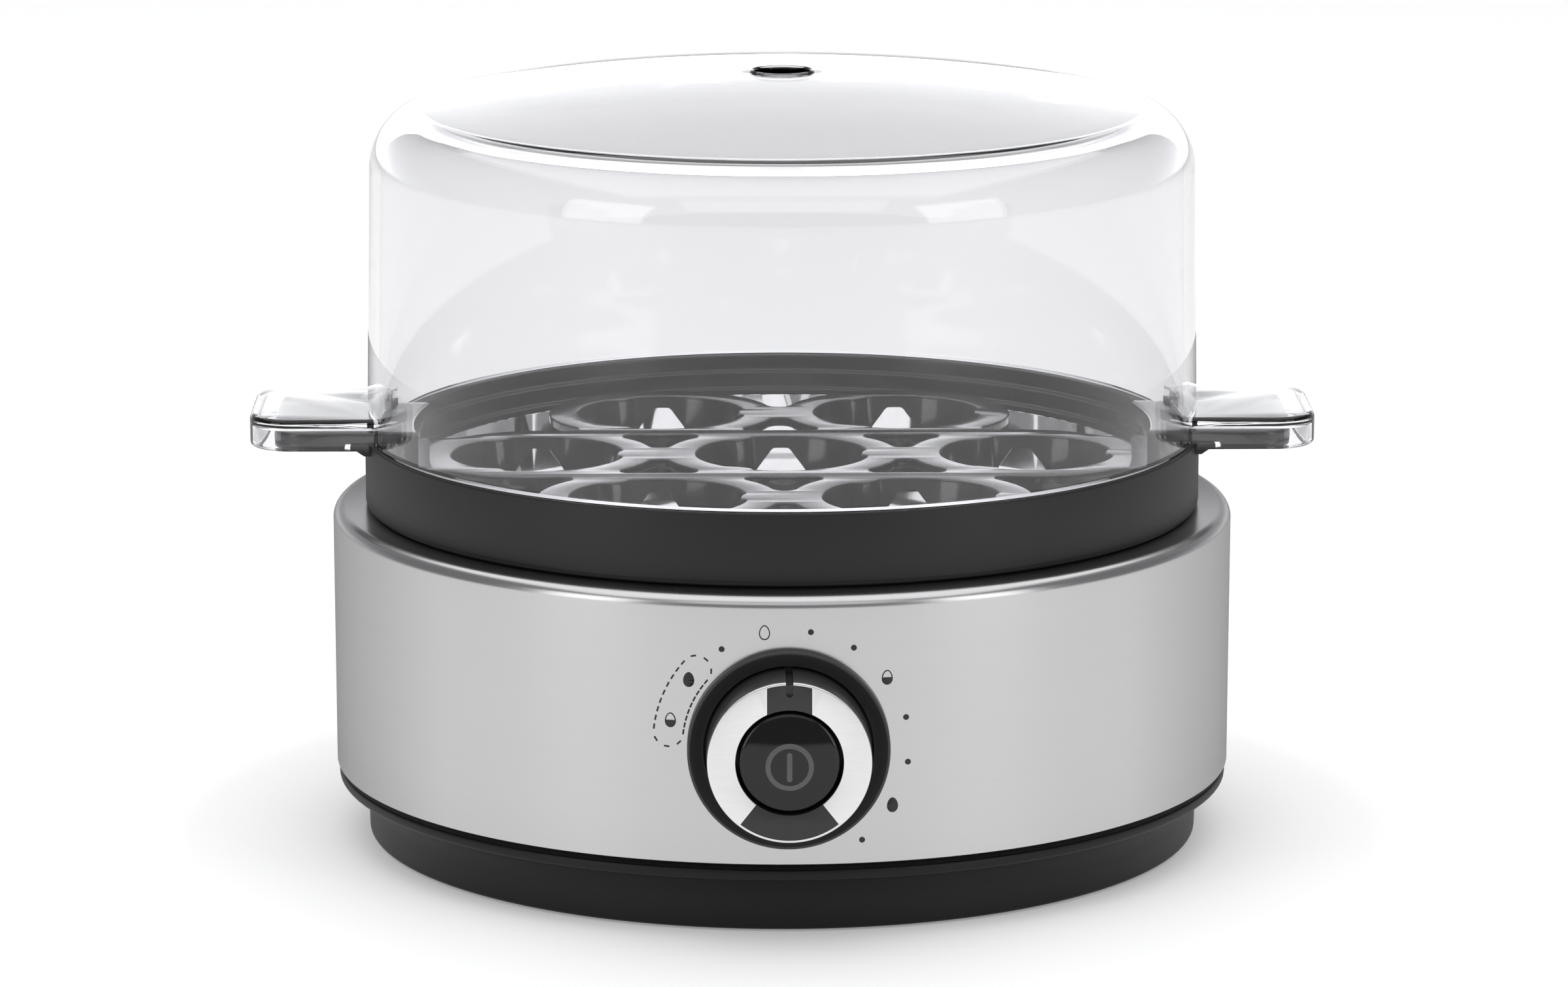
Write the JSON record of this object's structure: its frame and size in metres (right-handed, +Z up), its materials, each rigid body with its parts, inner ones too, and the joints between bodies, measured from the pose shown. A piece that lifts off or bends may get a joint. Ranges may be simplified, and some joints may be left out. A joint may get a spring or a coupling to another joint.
{
  "type": "egg cooker",
  "caption": "Round electric egg cooker with a brushed steel body, black lift-out egg tray, clear domed lid with two ears, and a timer dial with a push button.",
  "frame": {"origin": "where the body's axis meets the table", "axes": "+Z up along the body's axis, dial at the front on -Y, lid ears along X"},
  "size_m": [0.22, 0.1998, 0.1597],
  "materials": {
    "brushed_steel": "horizontal brushed grain",
    "polished_steel": "polished",
    "black_plastic": "fine satin",
    "tray_plastic": "glossy",
    "clear_plastic": "clear, glossy",
    "button_plastic": "glossy",
    "symbol_grey": "printed",
    "scale_ink": "printed",
    "bright_trim": "satin chrome",
    "silicone": "matt",
    "spreader_aluminium": "cast",
    "element_sheath": "oxidised",
    "zinc_fasteners": "zinc plated",
    "phenolic": "moulded",
    "fuse_ceramic": "matt",
    "block_plastic": "moulded",
    "board": "solder resist",
    "pot_blue": "moulded",
    "wire_sleeve": "silicone sleeve"
  },
  "bodies": {
    "root": {"steel_shell": "brushed_steel", "heating_plate": "polished_steel", "thermostat_clip": "polished_steel", "heat_shield": "polished_steel", "plate_studs": "polished_steel", "bowl_ring": "black_plastic", "base_housing": "black_plastic", "cord_gland": "black_plastic", "dial_bezel": "black_plastic", "buzzer": "black_plastic", "power_switch": "black_plastic", "dial_marks": "scale_ink", "bowl_seal": "silicone", "foot_ring": "silicone", "spreader_plate": "spreader_aluminium", "heating_element": "element_sheath", "plate_nuts": "zinc_fasteners", "shield_nuts": "zinc_fasteners", "body_screws": "zinc_fasteners", "board_screws": "zinc_fasteners", "pot_nut": "zinc_fasteners", "element_terminals": "zinc_fasteners", "thermostat": "phenolic", "thermal_fuse": "fuse_ceramic", "terminal_block": "block_plastic", "control_board": "board", "timer_pot": "pot_blue", "lead_wires": "wire_sleeve"},
    "tray": {"egg_tray": "tray_plastic"},
    "lid": {"lid": "clear_plastic"},
    "dial": {"dial_body": "black_plastic", "dial_trim": "bright_trim", "dial_inlays": "button_plastic", "dial_shaft": "polished_steel"},
    "button": {"button_cap": "button_plastic", "button_symbol": "symbol_grey", "button_stem": "block_plastic", "switch_plunger": "block_plastic"}
  },
  "joints": [
    {"name": "tray_lift", "type": "slide", "parent": "root", "child": "tray", "axis": [0, 0, 1], "range_m": [0, 0.08]},
    {"name": "lid_lift", "type": "slide", "parent": "tray", "child": "lid", "axis": [0, 0, 1], "range_m": [0, 0.1]},
    {"name": "dial_turn", "type": "hinge", "parent": "root", "child": "dial", "pos_m": [0, -0.1, 0.0392], "axis": [0, 1, 0], "range_deg": [-77.5, 142.5]},
    {"name": "button_press", "type": "slide", "parent": "root", "child": "button", "axis": [0, 1, 0], "range_m": [0, 0.0025], "stiffness_N_per_m": 300, "springref_m": -0.002}
  ]
}
